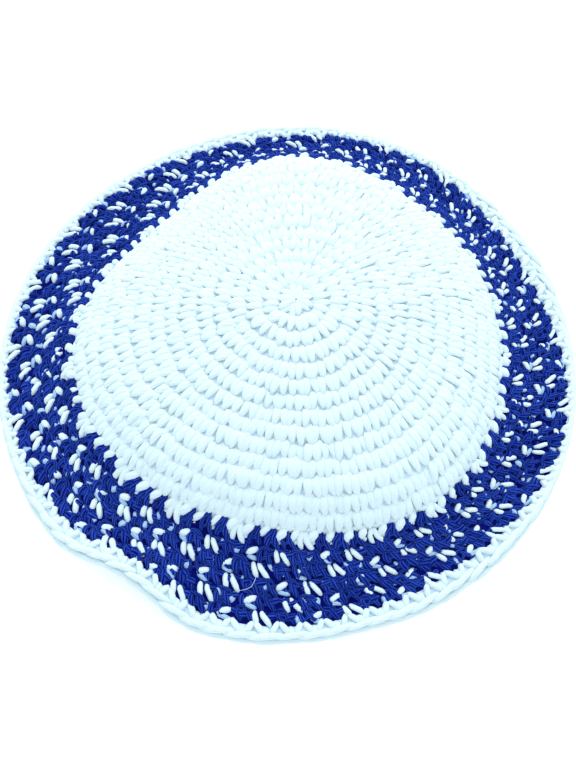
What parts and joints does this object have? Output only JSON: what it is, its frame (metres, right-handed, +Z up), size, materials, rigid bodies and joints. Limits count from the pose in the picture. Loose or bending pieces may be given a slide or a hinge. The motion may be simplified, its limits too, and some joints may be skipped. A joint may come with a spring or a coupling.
{
  "type": "crocheted skullcap",
  "caption": "Shallow round cap crocheted in rounds, with a plain crown, a patterned band and a chain edging, open underneath for the head.",
  "frame": {"origin": "middle of the cap's bounding box, on the surface that its rim lies on", "axes": "+Z up out of the crown, -Y towards the side nearest the viewer in the picture, +X to the viewer's right"},
  "size_m": [0.1696, 0.173, 0.0269],
  "materials": {
    "white_yarn": "mercerised white cotton yarn, soft sheen",
    "blue_yarn": "royal blue cotton yarn, soft sheen"
  },
  "bodies": {
    "root": {"crown": "white_yarn", "band": "blue_yarn", "edging": "white_yarn"}
  },
  "joints": []
}
